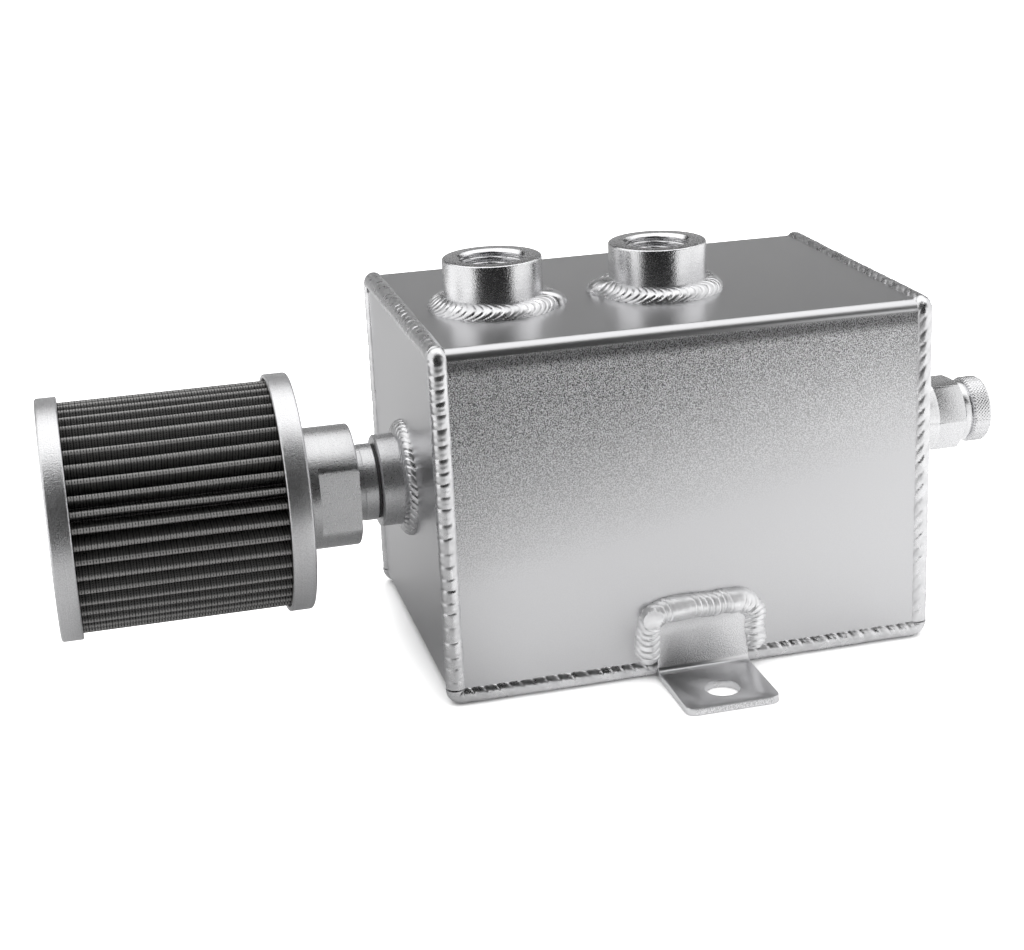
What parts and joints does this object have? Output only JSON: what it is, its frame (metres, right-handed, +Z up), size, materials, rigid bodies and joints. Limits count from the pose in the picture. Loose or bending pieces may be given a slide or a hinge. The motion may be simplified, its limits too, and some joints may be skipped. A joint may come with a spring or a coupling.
{
  "type": "oil catch can",
  "caption": "Welded aluminium oil catch can with a pleated breather filter, two threaded hose bosses, a capped drain and two feet.",
  "frame": {"origin": "midway between the two fixing holes of the feet, in the plane of the feet's undersides", "axes": "+X from the breather filter to the drain cap, +Y from the front foot to the back foot, +Z up, out of the hose bosses"},
  "size_m": [0.3212, 0.1752, 0.1302],
  "materials": {
    "folded_sheet": "fine-grained satin sheet, bead-blasted",
    "weld_bead": "bright rippled weld metal",
    "turned": "bright turned, with fine tool marks",
    "filter_cup": "blasted satin, with bright turned edges",
    "wire_mesh": "woven wire mesh with a dark epoxy coat",
    "core_sheet": "mill finish, slotted",
    "rubber_seal": "matt black",
    "bonded_washer": "zinc-plated steel with a rubber lip"
  },
  "bodies": {
    "tank": {"tank_base_channel": "folded_sheet", "tank_cover_channel": "folded_sheet", "baffle_plate_left": "folded_sheet", "baffle_plate_right": "folded_sheet", "front_bracket": "folded_sheet", "back_bracket": "folded_sheet", "left_end_seam": "weld_bead", "right_end_seam": "weld_bead", "front_floor_seam": "weld_bead", "back_floor_seam": "weld_bead", "inlet_boss_weld": "weld_bead", "outlet_boss_weld": "weld_bead", "front_bracket_weld": "weld_bead", "back_bracket_weld": "weld_bead", "breather_stub_weld": "weld_bead", "drain_bung_weld": "weld_bead", "inlet_boss": "turned", "outlet_boss": "turned", "breather_stub": "turned", "drain_bung": "turned", "drain_fitting": "turned", "drain_fitting_seal": "bonded_washer"},
    "breather_washer": {"breather_seal": "rubber_seal"},
    "breather_filter": {"breather_neck": "turned", "filter_inner_cap": "filter_cup", "filter_outer_cap": "filter_cup", "filter_element": "wire_mesh", "filter_core_tube": "core_sheet"},
    "cap_disc": {"drain_cap_seal": "rubber_seal"},
    "screw_cap": {"drain_cap": "turned"}
  },
  "joints": [
    {"name": "filter_travel", "type": "slide", "parent": "tank", "child": "breather_washer", "axis": [-1, 0, 0], "range_m": [0, 0.009]},
    {"name": "filter_unscrew", "type": "hinge", "parent": "breather_washer", "child": "breather_filter", "pos_m": [-0.1178, 0, 0.0577], "axis": [-1, 0, 0], "range_deg": [0, 2160]},
    {"name": "cap_travel", "type": "slide", "parent": "tank", "child": "cap_disc", "axis": [1, 0, 0], "range_m": [0, 0.006]},
    {"name": "cap_unscrew", "type": "hinge", "parent": "cap_disc", "child": "screw_cap", "pos_m": [0.1204, 0, 0.0577], "axis": [1, 0, 0], "range_deg": [0, 1440]}
  ],
  "couplings": [
    {"joint": "filter_travel", "follows": "filter_unscrew", "m_per_rad": 0.00023873},
    {"joint": "cap_travel", "follows": "cap_unscrew", "m_per_rad": 0.00023873}
  ]
}
